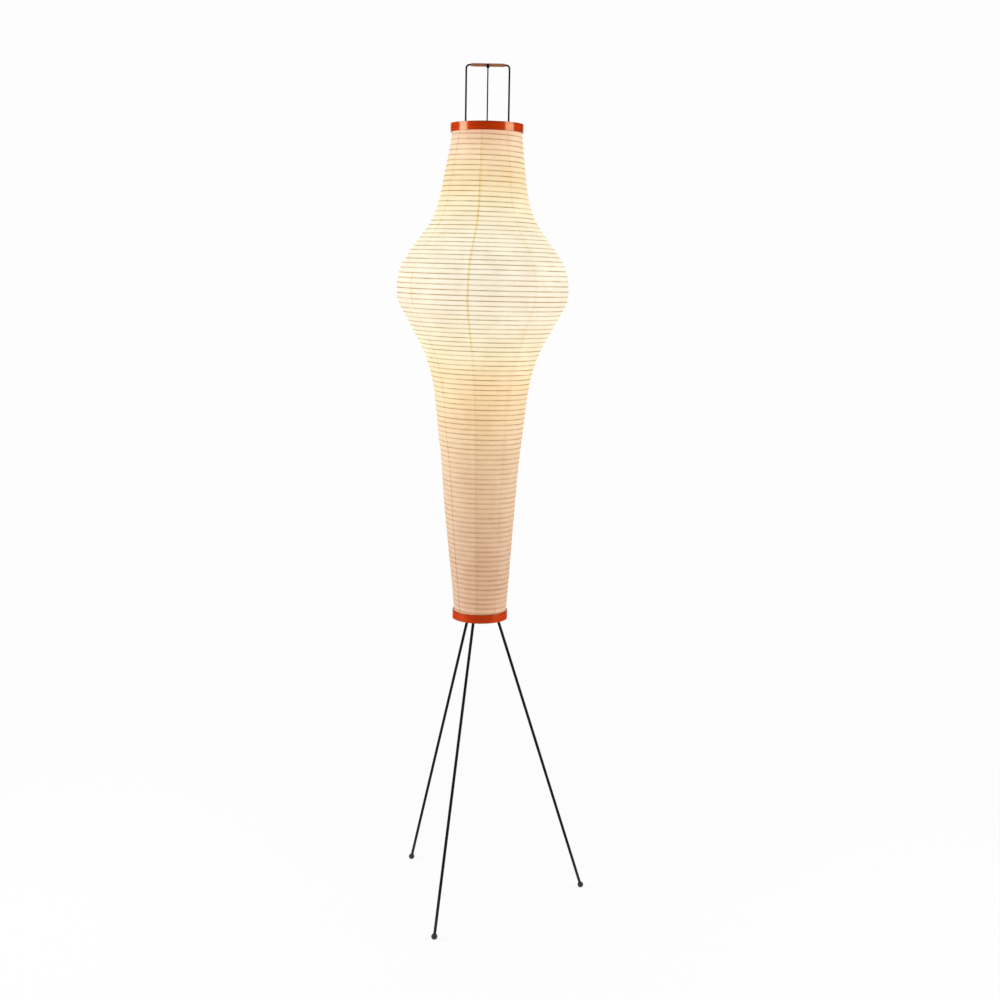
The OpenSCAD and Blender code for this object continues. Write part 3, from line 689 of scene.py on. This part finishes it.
@frozen
class Washi(Finish):
    """Handmade paper lit from inside: fibres, glued seams and the shadow of the rib.

    The glow is painted light: an emission colour by place, from the lower hem to the upper, that
    stands in for the bulb's light through the paper, with a brighter painted strip at each hem for the
    light that the bands reflect. Heights are in metres above the floor.
    """

    slot = Slot.WASHI
    glow: tuple[tuple[float, Color], ...] = (
        (0.00, (0.86, 0.44, 0.26)), (0.006, (0.60, 0.30, 0.14)), (0.03, (0.50, 0.24, 0.10)),
        (0.22, (0.56, 0.32, 0.145)), (0.36, (0.65, 0.42, 0.195)), (0.47, (0.80, 0.56, 0.27)),
        (0.55, (0.88, 0.79, 0.555)), (0.67, (0.89, 0.835, 0.71)), (0.80, (0.92, 0.88, 0.70)),
        (0.88, (0.89, 0.76, 0.505)), (0.96, (0.80, 0.56, 0.33)), (0.992, (0.74, 0.41, 0.22)),
        (1.00, (0.86, 0.40, 0.23)))
    paper: Color = srgb(139, 139, 133)
    fibre_face: Veil = Veil(0.25, srgb(168, 159, 142))
    cloud_face: Veil = Veil(0.2, srgb(128, 121, 109))
    # lit_through and thin: the paper's own colour is deepened where the painted glow is strongest, as
    # painted light.
    lit_through: Color = (0.66, 0.46, 0.28)
    rib_shadow_face: Color = (0.8, 0.72, 0.55)
    rib_shade: Color = (0.34, 0.16, 0.01)
    rib_shade_low: Color = (0.60, 0.30, 0.12)
    rib_shade_belly: Color = (0.35, 0.30, 0.13)
    fleck_veil: Veil = Veil(0.7, (0.30, 0.16, 0.06))
    seam_veil: Veil = Veil(1.0, (0.90, 0.70, 0.25))
    glue_spot_veil: Veil = Veil(0.8, (0.55, 0.36, 0.14))
    cloud_veil: Veil = Veil(0.10, (0.67, 0.55, 0.41))
    blotch_veil: Veil = Veil(0.12, (0.66, 0.42, 0.20))
    fibre_veil: Veil = Veil(0.12, (0.62, 0.41, 0.21))
    penumbra_veil: Veil = Veil(0.10, rib_shade)
    hems: Span = (0.667, 1.716)
    low_shade: Span = (0.95, 1.17)
    belly: Bounds = (1.18, 1.32, 1.60, 1.74)
    thin: Bounds = (1.12, 1.28, 1.60, 1.70)
    flecks: Cloud = Cloud(75.0, 1.0, 0.70, 0.76)
    clouds: Cloud = Cloud(55.0, 5.0, 0.3, 0.7)
    blotches: Cloud = Cloud(16.0, 3.0, 0.35, 0.65)
    fibre_ways: tuple[tuple[Color, Color], ...] = (
        ((900.0, 900.0, 60.0), (0.5, 0.3, 0.2)), ((80.0, 900.0, 900.0), (0.2, 0.9, 0.6)))
    fibre_cut: Span = (0.62, 0.72)
    fibre_relief: float = 0.6
    relief_depth: float = 0.12 * MM
    roughness: Span = (0.78, 0.9)
    rib_pitch_mm: float = 10.8
    line_heights: Span = (0.667, 1.25)
    line_widths: Span = (1.7, 0.75)
    line_edge: Span = (0.6, 1.7)
    line_low_share: float = 0.66
    penumbra_mm: Span = (1.2, 4.2)
    line_stretch: Color = (14.0, 14.0, 80.0)
    line_patches: Cloud = Cloud(1.0, 3.0, 0.35, 0.65, 0.5, 1.0)
    seam_edge_mm: Span = (4.2, 4.8)
    seam_share: Span = (0.30, 0.65)
    glue_patches: Cloud = Cloud(7.0, 2.0, 0.38, 0.62, 0.55, 1.0)

    def dress(self, graph: Graph) -> None:
        """Light through the paper, darkened by what lies behind it."""
        place = graph.place()
        height = graph.axis(place)
        belly = graph.between(height, self.belly)
        turn = graph.math("FRACT", graph.math("ADD", graph.attribute("rib_turn"), 0.5))
        away_mm = graph.times(graph.gap(turn, 0.5), self.rib_pitch_mm)
        # The rib's painted shadow line, laid on both the painted glow and the paper's own colour.
        line = self._rib_shadow_line(graph, height, away_mm)
        penumbra = graph.remap(away_mm, *self.penumbra_mm, 1.0, 0.0)
        seam = self._seam(graph, place, belly)
        clouds = graph.cloud(place, self.clouds)
        fibres = self._fibres(graph, place)
        shade = graph.mix(graph.remap(height, *self.low_shade), self.rib_shade_low, self.rib_shade)
        shade = graph.mix(belly, shade, self.rib_shade_belly)

        # Painted light: the glow stands in for the bulb's light through the paper. Each veil below
        # darkens it as painted shade where something in or behind the paper holds the light back.
        light = graph.ramp(graph.remap(height, *self.hems, smooth=False), self.glow)
        for mask, veil in (
                (penumbra, self.penumbra_veil),
                (line, Veil(1.0, shade)),
                (graph.times(line, graph.cloud(place, self.flecks)), self.fleck_veil),
                (seam, self.seam_veil),
                (graph.times(seam, line), self.glue_spot_veil),
                (clouds, self.cloud_veil),
                (graph.cloud(place, self.blotches), self.blotch_veil),
                (fibres, self.fibre_veil)):
            light = graph.mix(graph.times(mask, veil.share), light, veil.tint, "MULTIPLY")

        face = self.paper
        for mask, veil in ((fibres, self.fibre_face), (clouds, self.cloud_face)):
            face = graph.mix(graph.times(mask, veil.share), face, veil.tint)
        # Painted light: the paper's own colour is deepened where the painted glow is strongest, so
        # that face and glow together don't clip to white.
        thin = graph.between(height, self.thin)
        face = graph.mix(thin, face, self.lit_through, "MULTIPLY")
        # Painted shadow of the rib on the paper's own colour.
        face = graph.mix(line, face, self.rib_shadow_face, "MULTIPLY")
        relief = graph.math("ADD", graph.times(fibres, self.fibre_relief), clouds)
        graph.set(Base_Color=face, Emission_Color=light, Emission_Strength=1.0,
                  Roughness=graph.remap(clouds, 0.0, 1.0, *self.roughness), Specular_IOR_Level=0.25,
                  Normal=graph.bump(relief, self.relief_depth))

    def _rib_shadow_line(self, graph: Graph, height: Socket, away_mm: Socket) -> Socket:
        """Gives a mask of the rib's painted shadow line, uneven, and fainter in the slant light below.
        """
        width = graph.remap(height, *self.line_heights, *self.line_widths)
        line = graph.remap(graph.math("DIVIDE", away_mm, width), *self.line_edge, 1.0, 0.0)
        patches = graph.cloud(graph.stretched(graph.place(), self.line_stretch), self.line_patches)
        low_share = graph.remap(height, *self.low_shade, self.line_low_share, 1.0)
        return graph.times(line, graph.times(patches, low_share))

    def _seam(self, graph: Graph, place: Socket, belly: Socket) -> Socket:
        """Gives a mask of the glued seams, which come and go, and show most in strong light."""
        seam = graph.remap(graph.attribute("seam_mm"), *self.seam_edge_mm, 1.0, 0.0)
        glue = graph.times(graph.attribute("glue"), graph.cloud(place, self.glue_patches))
        strength = graph.remap(belly, 0.0, 1.0, *self.seam_share)
        return graph.times(graph.times(seam, glue), strength)

    def _fibres(self, graph: Graph, place: Socket) -> Socket:
        """Gives a mask of long fibres that lie two ways through the paper."""
        drawn = (graph.noise(graph.stretched(place, *way), 1.0) for way in self.fibre_ways)
        return graph.math("MAXIMUM", *(graph.remap(noise, *self.fibre_cut) for noise in drawn))


FINISHES = (BlackPaint, ZincPlate, Brass, BulbMetal, BlackRubber, Bakelite, Porcelain, OpalGlass,
            ClearGlass, Tungsten, OrangeLacquer, GripWood, SplitBamboo, Washi)


class Wardrobe:
    """Every finish's material, by slot."""

    def __init__(self) -> None:
        """Builds the shared effects, then each finish once."""
        groups = Effects().groups
        self.materials = {finish.slot: finish().build(groups) for finish in FINISHES}

    def dress(self, piece: Object, slot: Slot) -> None:
        """Gives a piece the one material of its slot."""
        piece.data.materials.clear()
        piece.data.materials.append(self.materials[slot])

    def dress_frame(self) -> None:
        """Gives each of the frame's own nodes the finish of its slot in the record."""
        for part in frame["record"]["subparts"]:
            self.dress(frame["nodes"][part["node"]], Slot(part["material_slot"]))


# Pieces

def add_mesh(name: str, mesh: Mesh) -> Object:
    """Makes an object of the scene from a finished bmesh, which is freed."""
    data = bpy.data.meshes.new(name)
    mesh.to_mesh(data)
    mesh.free()
    piece = bpy.data.objects.new(name, data)
    bpy.context.scene.collection.objects.link(piece)
    return piece


def make_piece(name: str, mesh: Mesh, wardrobe: Wardrobe, slot: Slot, body: Body,
               replaced: tuple[str, ...]) -> Object:
    """Makes a piece of the lamp, dresses it and ties it to the frame.

    Args:
        name: The piece's name.
        mesh: Its finished bmesh, which is freed.
        wardrobe: The finishes.
        slot: The finish that it takes.
        body: The body that it rides on.
        replaced: The frame's nodes that it stands for.

    Returns:
        The new object, at the origin.
    """
    piece = add_mesh(name, mesh)
    piece.data.shade_smooth()
    wardrobe.dress(piece, slot)
    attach(piece, body.value)
    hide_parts(*replaced)
    LOG.info("%s: %d faces, rides on %s", name, len(piece.data.polygons), body.value)
    return piece


class ShadeCurve:
    """The meridian on which the shade's ridges lie, measured on the frame's own shade."""

    ring_gap = 1 * MM
    tangent_step = 0.1
    leaning = 4.4 * MM
    lean_rise = 0.27
    lean_fall = 0.14
    wobble_depth = 0.35 * MM
    wobble_round = 3.0
    wobble_pace = 0.35

    def __init__(self, shade: Object) -> None:
        """Reads the ridges. The shade's rings are its hems' ends, then ridges and hollows in turn."""
        spots = sorted((v.co.z, math.hypot(v.co.x, v.co.y)) for v in shade.data.vertices)
        rings = [Vector((spots[0][1], spots[0][0]))]
        for height, radius in spots:
            if height - rings[-1].y > self.ring_gap:
                rings.append(Vector((radius, height)))
            rings[-1].x = max(rings[-1].x, radius)
        self.ridges = rings[1:-1:2]
        self.turns = len(self.ridges) - 1
        lengths = [(b - a).length for a, b in zip(self.ridges, self.ridges[1:])]
        self.pitch = sum(lengths) / self.turns
        self.hem_turns = (self.ridges[0].y - rings[0].y) / self.pitch

    def place(self, turn: float) -> Vector:
        """Gives a place on the curve.

        Args:
            turn: How far up the paper it is from the lower band, in rib pitches.

        Returns:
            Its radius and its height. Past either end it runs straight on, as the hems do.
        """
        inside = min(max(turn, 0.0), self.turns)
        first = min(int(inside), self.turns - 1)
        t = inside - first
        a, b, c, d = (self.ridges[min(max(first + k, 0), self.turns)] for k in (-1, 0, 1, 2))
        spot = b + 0.5 * t * ((c - a) + t * ((2 * a - 5 * b + 4 * c - d) + t * (3 * (b - c) + d - a)))
        spot.y += (turn - inside) * self.pitch
        return spot

    def outward(self, turn: float) -> Vector:
        """Gives the direction away from the paper, as a radius and a height."""
        step = self.place(turn + self.tangent_step) - self.place(turn - self.tangent_step)
        return Vector((step.y, -step.x)).normalized()

    def lean(self, height: float) -> float:
        """Gives how far the paper hangs to the left between the two bands, in metres."""
        low, high = self.ridges[0].y, self.ridges[-1].y
        share = 1.0
        for away, reach in ((height - low, self.lean_rise), (high - height, self.lean_fall)):
            near = min(max(away / reach, 0.0), 1.0)
            share *= near * near * (3 - 2 * near)
        return self.leaning * share

    def wobble(self, angle: float, turn: float) -> float:
        """Gives how far the hand-bent rib stands off its true place, in metres."""
        flat = (self.wobble_round * way(angle) for way in (math.cos, math.sin))
        return self.wobble_depth * noise.noise(Vector((*flat, self.wobble_pace * turn)))


@dataclass
class PaperShade:
    """Eight gores of paper, each glued over the edge of the next, from hem to hem."""

    curve: ShadeCurve
    gores: int = 8
    first_seam: float = math.radians(36.2)
    drift: float = math.radians(3.0)
    drift_pace: float = 0.06
    seam_seed: float = 7.3
    columns: int = 12
    rows: int = 5
    paper: float = 0.4 * MM
    lift: float = 0.45 * MM
    ramp: float = 1.2 * MM
    overlap: float = 4.5 * MM
    sag: float = 0.6 * MM
    crown: float = 0.1
    hem_blend: float = 0.4
    weld: float = 0.01 * MM
    spare_turns: int = 3
    glue: tuple[float, ...] = (0.6, 0.9, 0.5, 0.35, 1.0, 0.8, 0.5, 0.7)

    def build(self, wardrobe: Wardrobe) -> list[Object]:
        """Builds every gore, and returns the pieces."""
        return [
            make_piece(f"paper_gore_{k + 1}", self._gore(k), wardrobe, Slot.WASHI, Body.STAND,
                       ("paper_shade",))
            for k in range(self.gores)
        ]

    def _hollow(self, turn: float, along: float) -> float:
        """Gives how deep the paper draws in at a place between two ridges."""
        if not 0 < along < self.curve.turns:
            return 0.0
        away = abs(turn - round(turn))
        share = max(0.0, (away - self.crown) / (0.5 - self.crown))
        return self.sag * (1 - (1 - share) ** 2)

    def _stray(self, index: int, along: float) -> float:
        """Gives the angle by which a hand-laid gore's hidden edge strays, at a place up the paper."""
        seed = self.seam_seed * (index % self.gores)
        return self.drift * noise.noise(Vector((seed, self.drift_pace * along, 0)))

    def _spot(self, column: int, turn: float, index: int) -> tuple[Vector, float]:
        """Gives the place of one vertex of a gore.

        Args:
            column: Its column, from the gore's hidden edge.
            turn: Its rib turn, where whole numbers lie over the rib.
            index: The gore's number.

        Returns:
            Its place, and its distance in mm from the seam's visible edge.
        """
        curve = self.curve
        share = min(column, self.columns) / self.columns
        angle, end = (self.first_seam + (index + k) * TURN / self.gores for k in (share, 1))
        along = turn - angle / TURN
        along = min(max(along, -curve.hem_turns), curve.turns + curve.hem_turns)
        strays = [self._stray(index + k, along) for k in (0, 1)]
        angle += (1 - share) * strays[0] + share * strays[1]
        end += strays[1]
        spot = curve.place(along)
        raised = 0.0
        if column == self.columns - 1:
            angle = end - self.ramp / spot.x
        elif column >= self.columns:
            raised = self.lift
        if column > self.columns:
            angle += self.overlap / spot.x
        inside = max(0.0, min(along, curve.turns - along))
        in_hem = max(0.0, self.hem_blend - inside) / self.hem_blend
        out = raised - self._hollow(turn, along) + curve.wobble(angle, along) * (1 - in_hem)
        spot += (out - self.lift * in_hem) * curve.outward(along)
        place = Vector((spot.x * math.cos(angle), spot.x * math.sin(angle), spot.y))
        place.x -= curve.lean(spot.y)
        far = abs(end + self.overlap / spot.x - angle) * spot.x / MM
        return place, far

    def _gore(self, index: int) -> Mesh:
        """Lays one gore: a grid wrapped on the curve along the rib's spiral, then given thickness."""
        mesh = bmesh.new()
        turns, seams, glues = map(mesh.verts.layers.float.new, ("rib_turn", "seam_mm", "glue"))
        first = self.crown - 1 / self.rows * math.ceil(self.rows * (self.curve.hem_turns + self.crown))
        rows = self.rows * (self.curve.turns + self.spare_turns)
        across = self.columns + 1
        bmesh.ops.create_grid(mesh, x_segments=across, y_segments=rows, size=0.5)
        for vertex in mesh.verts:
            column = round((vertex.co.x + 0.5) * across)
            row = round((vertex.co.y + 0.5) * rows)
            turn = first + row / self.rows
            vertex[turns] = turn
            vertex[glues] = self.glue[index]
            vertex.co, vertex[seams] = self._spot(column, turn, index)
        bmesh.ops.remove_doubles(mesh, verts=mesh.verts[:], dist=self.weld)
        bmesh.ops.solidify(mesh, geom=mesh.faces[:], thickness=self.paper)
        return mesh


@dataclass
class BambooRib:
    """One split-bamboo strip, wound up the inside of the paper."""

    curve: ShadeCurve
    rings: int = 36
    width: float = 2.0 * MM
    thickness: float = 1.2 * MM
    inset: float = 1.15 * MM
    sides: int = 8
    weld: float = 0.001 * MM
    knot_gap: float = 310 * MM
    knot_reach: float = 3 * MM
    knot_swell: Span = (0.2, 0.12)

    def build(self, wardrobe: Wardrobe) -> Object:
        """Builds the strip and returns the piece."""
        mesh = bmesh.new()
        turns, knots = map(mesh.verts.layers.float.new, ("rib_turn", "knot"))
        rows = self.rings * self.curve.turns
        bmesh.ops.create_grid(mesh, x_segments=self.sides, y_segments=rows, size=0.5)
        length = [0.0]
        for row in range(rows):
            length.append(length[-1] + self.curve.place(row / self.rings).x * TURN / self.rings)
        for vertex in mesh.verts:
            side = (vertex.co.x + 0.5) * TURN
            row = round((vertex.co.y + 0.5) * rows)
            turn = row / self.rings
            gaps = length[row] / self.knot_gap
            knot = max(0.0, 1 - abs(gaps - round(gaps)) * self.knot_gap / self.knot_reach)
            vertex.co = self._spot(turn, side, knot)
            vertex[turns] = turn
            vertex[knots] = knot
        bmesh.ops.remove_doubles(mesh, verts=mesh.verts[:], dist=self.weld)
        edges = [edge for edge in mesh.edges if edge.is_boundary]
        bmesh.ops.holes_fill(mesh, edges=edges, sides=0)
        bmesh.ops.recalc_face_normals(mesh, faces=mesh.faces[:])
        return make_piece("bamboo_strip", mesh, wardrobe, Slot.BAMBOO, Body.STAND, ("bamboo_rib",))

    def _spot(self, turn: float, side: float, knot: float) -> Vector:
        """Gives the place of one vertex of the strip.

        Args:
            turn: How many turns up the strip it is.
            side: Its angle round the strip's section.
            knot: How much of a bamboo node is there, from 0 to 1.

        Returns:
            Its place.
        """
        angle = -TURN * turn
        out = self.curve.outward(turn)
        up = Vector((-out.y, out.x))
        squared = max(abs(math.cos(side)), abs(math.sin(side)))
        swell = [1 + share * knot for share in self.knot_swell]
        across = math.cos(side) / squared * self.thickness / 2 * swell[0]
        along = math.sin(side) / squared * self.width / 2 * swell[1]
        stand = self.curve.wobble(angle % TURN, turn) - self.inset
        spot = self.curve.place(turn) + (stand + across) * out + along * up
        lean = self.curve.lean(spot.y)
        return Vector((spot.x * math.cos(angle) - lean, spot.x * math.sin(angle), spot.y))


@dataclass
class FoldingLantern:
    """The paper and its rib, built from the frame's shade."""

    joint: str = "shade_fold"

    def build(self, wardrobe: Wardrobe) -> None:
        """Builds both, and gives each piece a mesh of its own."""
        curve = ShadeCurve(frame["nodes"]["paper_shade"])
        pieces = [*PaperShade(curve).build(wardrobe), BambooRib(curve).build(wardrobe)]
        for piece in pieces:
            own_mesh(piece)


# Studio

def stage_piece(name: str, mesh: Mesh) -> tuple[Object, Graph]:
    """Makes an object of the room, and returns it with the graph of its still empty material."""
    piece = add_mesh(name, mesh)
    material = bpy.data.materials.new(name)
    material.use_nodes = True
    material.node_tree.nodes.clear()
    piece.data.materials.append(material)
    return piece, Graph(material.node_tree)


@frozen
class Softbox:
    """One soft lamp beside the lantern."""

    name: str
    azimuth: float
    width: float
    radiance: float
    height: float = 2.2
    middle: float = 1.35
    distance: float = 2.6

    def build(self) -> None:
        """Hangs the lamp, facing the lantern. Azimuth 0 is the camera's side."""
        data = bpy.data.lights.new(self.name, "AREA")
        data.shape = "RECTANGLE"
        data.size = self.width
        data.size_y = self.height
        data.energy = self.radiance * math.pi * self.width * self.height
        lamp = bpy.data.objects.new(self.name, data)
        turn = Matrix.Rotation(math.radians(self.azimuth), 4, "Z")
        stand = Matrix.Translation((0, -self.distance, self.middle))
        face = Matrix.Rotation(math.radians(90), 4, "X")
        lamp.matrix_world = turn @ stand @ face
        lamp.visible_camera = False
        bpy.context.scene.collection.objects.link(lamp)


@frozen
class BlackFlag:
    """One curved black flag round the lantern, which only mirrors see."""

    name: str
    start: float
    end: float
    radius: float = 2.2
    height: float = 3.6
    steps: int = 24
    grey: float = 0.01

    def build(self) -> None:
        """Hangs the flag between its two azimuths, in degrees from the camera's side."""
        mesh = bmesh.new()
        ends = [mesh.verts.new((0, -self.radius, height)) for height in (0.0, self.height)]
        line = [*ends, mesh.edges.new(ends)]
        turn = Matrix.Rotation(math.radians(self.start), 3, "Z")
        bmesh.ops.rotate(mesh, matrix=turn, verts=ends)
        bmesh.ops.spin(mesh, geom=line, axis=(0, 0, 1), cent=(0, 0, 0), steps=self.steps,
                       angle=math.radians(self.end - self.start))
        flag, graph = stage_piece(self.name, mesh)
        cloth = graph.add("BsdfDiffuse", {"Color": (self.grey,) * 3})
        graph.add("OutputMaterial", {"Surface": cloth.outputs[0]})
        for ray in ("camera", "diffuse", "transmission", "shadow", "volume_scatter"):
            setattr(flag, f"visible_{ray}", False)


@dataclass
class Studio:
    """A white room with a pale floor, two soft lamps and the camera at the photo's angle."""

    lens_mm: float = 51.59
    sensor_mm: float = 36.0
    camera_place: Color = (0.0, -3.124, 1.426)
    camera_pitch: float = math.radians(9.18)
    camera_yaw: float = math.radians(-0.75)
    camera_roll: float = math.radians(0.976)
    white: float = 0.982
    ambient: float = 0.30
    floor_size: float = 40.0
    floor_gap: float = 0.2 * MM
    floor_grey: float = 0.8
    shadow_reach: Span = (0.3, 1.8)
    shadow_share: float = 0.14
    made_up: float = 0.055

    def build(self) -> None:
        """Builds the room, the lamps and the camera."""
        self._camera()
        self._world()
        self._floor()
        Softbox("softbox_left", azimuth=-79, width=1.3, radiance=8.0).build()
        Softbox("softbox_right", azimuth=74, width=1.4, radiance=5.7).build()
        BlackFlag("flag_front", start=-60, end=56).build()
        BlackFlag("flag_left", start=-154, end=-97).build()
        BlackFlag("flag_right", start=92, end=154).build()
        BlackFlag("flag_low", start=-97, end=92, height=0.3).build()
        bpy.context.scene.view_settings.view_transform = "Standard"

    def _camera(self) -> None:
        """Places the camera."""
        data = bpy.data.cameras.new("camera")
        data.lens = self.lens_mm
        data.sensor_width = self.sensor_mm
        camera = bpy.data.objects.new("camera", data)
        camera.matrix_world = (
            Matrix.Translation(self.camera_place)
            @ Matrix.Rotation(self.camera_yaw, 4, "Z")
            @ Matrix.Rotation(math.pi / 2 - self.camera_pitch, 4, "X")
            @ Matrix.Rotation(self.camera_roll, 4, "Z"))
        bpy.context.scene.collection.objects.link(camera)
        bpy.context.scene.camera = camera

    def _world(self) -> None:
        """Even grey light, with white surroundings wherever they are seen or mirrored."""
        world = bpy.data.worlds.new("room")
        world.use_nodes = True
        graph = Graph(world.node_tree)
        world.node_tree.nodes.clear()
        seen = self._seen(graph)
        strength = graph.remap(seen, 0.0, 1.0, self.ambient, self.white, smooth=False)
        background = graph.add("Background", {"Color": (1, 1, 1), "Strength": strength})
        graph.add("OutputWorld", {"Surface": background.outputs[0]})
        bpy.context.scene.world = world

    @staticmethod
    def _seen(graph: Graph) -> Socket:
        """Gives 1 to rays from the camera, or by a mirror or through glass, and 0 to others."""
        path = graph.add("LightPath")
        mirrored = graph.math("MAXIMUM", path.outputs["Is Glossy Ray"],
                              path.outputs["Is Transmission Ray"])
        return graph.math("MAXIMUM", path.outputs["Is Camera Ray"], mirrored)

    def _floor(self) -> None:
        """Lays a white floor that keeps a faint shadow near the lamp."""
        mesh = bmesh.new()
        bmesh.ops.create_grid(mesh, x_segments=1, y_segments=1, size=self.floor_size / 2)
        floor, graph = stage_piece("floor", mesh)
        floor.location.z = -self.floor_gap
        board = graph.add("BsdfDiffuse", {"Color": (self.floor_grey,) * 3})
        away = graph.add("VectorMath", {0: graph.place()}, operation="LENGTH").outputs["Value"]
        made_up = graph.remap(away, *self.shadow_reach, 1 + self.made_up, 1.0)
        glow = graph.add("Emission", {"Color": (self.white,) * 3, "Strength": made_up})
        clean = graph.remap(away, *self.shadow_reach, 1 - self.shadow_share, 1.0)
        share = graph.times(self._seen(graph), clean)
        both = graph.add("MixShader", {0: share, 1: board.outputs[0], 2: glow.outputs[0]})
        graph.add("OutputMaterial", {"Surface": both.outputs[0]})


def main() -> None:
    """Builds the studio, dresses the frame and makes the lantern's own pieces."""
    logging.basicConfig(level=logging.INFO, format="%(message)s")
    Studio().build()
    wardrobe = Wardrobe()
    wardrobe.dress_frame()
    FoldingLantern().build(wardrobe)


if __name__ == "__main__":
    main()
